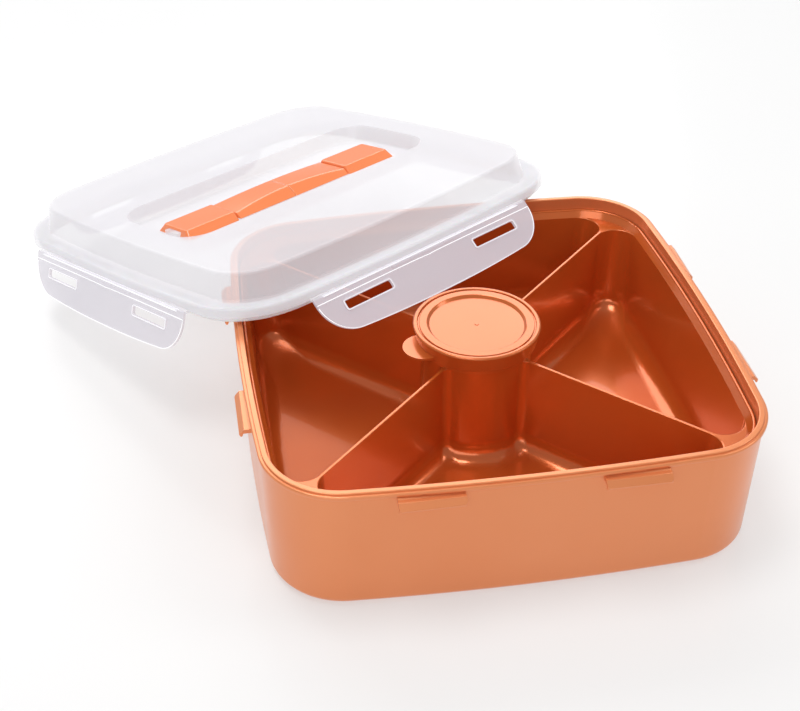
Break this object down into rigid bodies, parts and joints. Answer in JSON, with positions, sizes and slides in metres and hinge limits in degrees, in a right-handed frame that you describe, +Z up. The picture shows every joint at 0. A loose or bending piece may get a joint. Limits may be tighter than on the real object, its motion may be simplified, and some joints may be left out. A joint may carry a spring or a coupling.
{
  "type": "chip and dip server",
  "caption": "Square orange snack container with a divided tray around a lidded dip cup, and a frosted snap lid with a carry handle leaning on its rim.",
  "frame": {"origin": "centre of the container's base, on the table", "axes": "+Z up, -Y out through the container's front side, +X to its right; the lid leans on the back-left corner"},
  "size_m": [0.4433, 0.5446, 0.1146],
  "materials": {
    "orange_plastic": "semi-gloss moulded polypropylene",
    "bright_orange_plastic": "satin moulded polypropylene",
    "frosted_plastic": "frosted translucent polypropylene",
    "white_seal": "matt white silicone"
  },
  "bodies": {
    "container": {"container": "orange_plastic"},
    "divided_tray": {"divided_tray": "orange_plastic"},
    "dip_cup": {"dip_cup": "orange_plastic"},
    "cup_lid": {"cup_lid": "orange_plastic"},
    "lid": {"lid_panel": "frosted_plastic", "lid_gasket": "white_seal", "handle_cap_left": "bright_orange_plastic", "handle_cap_right": "bright_orange_plastic", "handle_tongue_left": "bright_orange_plastic", "handle_tongue_right": "bright_orange_plastic"},
    "flap_front": {"flap_front": "frosted_plastic"},
    "flap_right": {"flap_right": "frosted_plastic"},
    "flap_rear": {"flap_rear": "frosted_plastic"},
    "flap_left": {"flap_left": "frosted_plastic"},
    "handle_grip": {"handle_grip": "bright_orange_plastic"},
    "handle_link_left": {"handle_link_left": "bright_orange_plastic"},
    "handle_link_right": {"handle_link_right": "bright_orange_plastic"}
  },
  "joints": [
    {"name": "tray_lift", "type": "slide", "parent": "container", "child": "divided_tray", "axis": [0, 0, 1], "range_m": [0, 0.1]},
    {"name": "cup_lift", "type": "slide", "parent": "divided_tray", "child": "dip_cup", "axis": [0, 0, 1], "range_m": [0, 0.1]},
    {"name": "cup_lid_lift", "type": "slide", "parent": "dip_cup", "child": "cup_lid", "axis": [0, 0, 1], "range_m": [0, 0.05]},
    {"name": "lid_lift", "type": "slide", "parent": "divided_tray", "child": "lid", "axis": [0, 0, 1], "range_m": [0, 0.12]},
    {"name": "flap_front_hinge", "type": "hinge", "parent": "lid", "child": "flap_front", "pos_m": [-0.01896, 0.07686, 0.09497], "axis": [0.8406, 0.5415, -0.015], "range_deg": [-110, 3]},
    {"name": "flap_right_hinge", "type": "hinge", "parent": "lid", "child": "flap_right", "pos_m": [0.0285, 0.28722, 0.06159], "axis": [-0.533, 0.8218, -0.2013], "range_deg": [-120, 30]},
    {"name": "flap_rear_hinge", "type": "hinge", "parent": "lid", "child": "flap_rear", "pos_m": [-0.18345, 0.33047, 0.03286], "axis": [-0.8406, -0.5415, 0.015], "range_deg": [-138, 11]},
    {"name": "flap_left_hinge", "type": "hinge", "parent": "lid", "child": "flap_left", "pos_m": [-0.2309, 0.12011, 0.06624], "axis": [0.533, -0.8218, 0.2013], "range_deg": [-130, 20]},
    {"name": "grip_rise", "type": "slide", "parent": "lid", "child": "handle_grip", "axis": [-0.0966, 0.1772, 0.9794], "range_m": [0, 0.013]},
    {"name": "link_left_bend", "type": "hinge", "parent": "handle_grip", "child": "handle_link_left", "pos_m": [-0.11916, 0.19495, 0.07587], "axis": [0.533, -0.8218, 0.2013], "range_deg": [0, 25.5]},
    {"name": "link_right_bend", "type": "hinge", "parent": "handle_grip", "child": "handle_link_right", "pos_m": [-0.08554, 0.2166, 0.07527], "axis": [-0.533, 0.8218, -0.2013], "range_deg": [0, 25.5]}
  ],
  "couplings": [
    {"joint": "link_left_bend", "follows": "grip_rise", "rad_per_m": 33.83},
    {"joint": "link_right_bend", "follows": "grip_rise", "rad_per_m": 33.83}
  ]
}
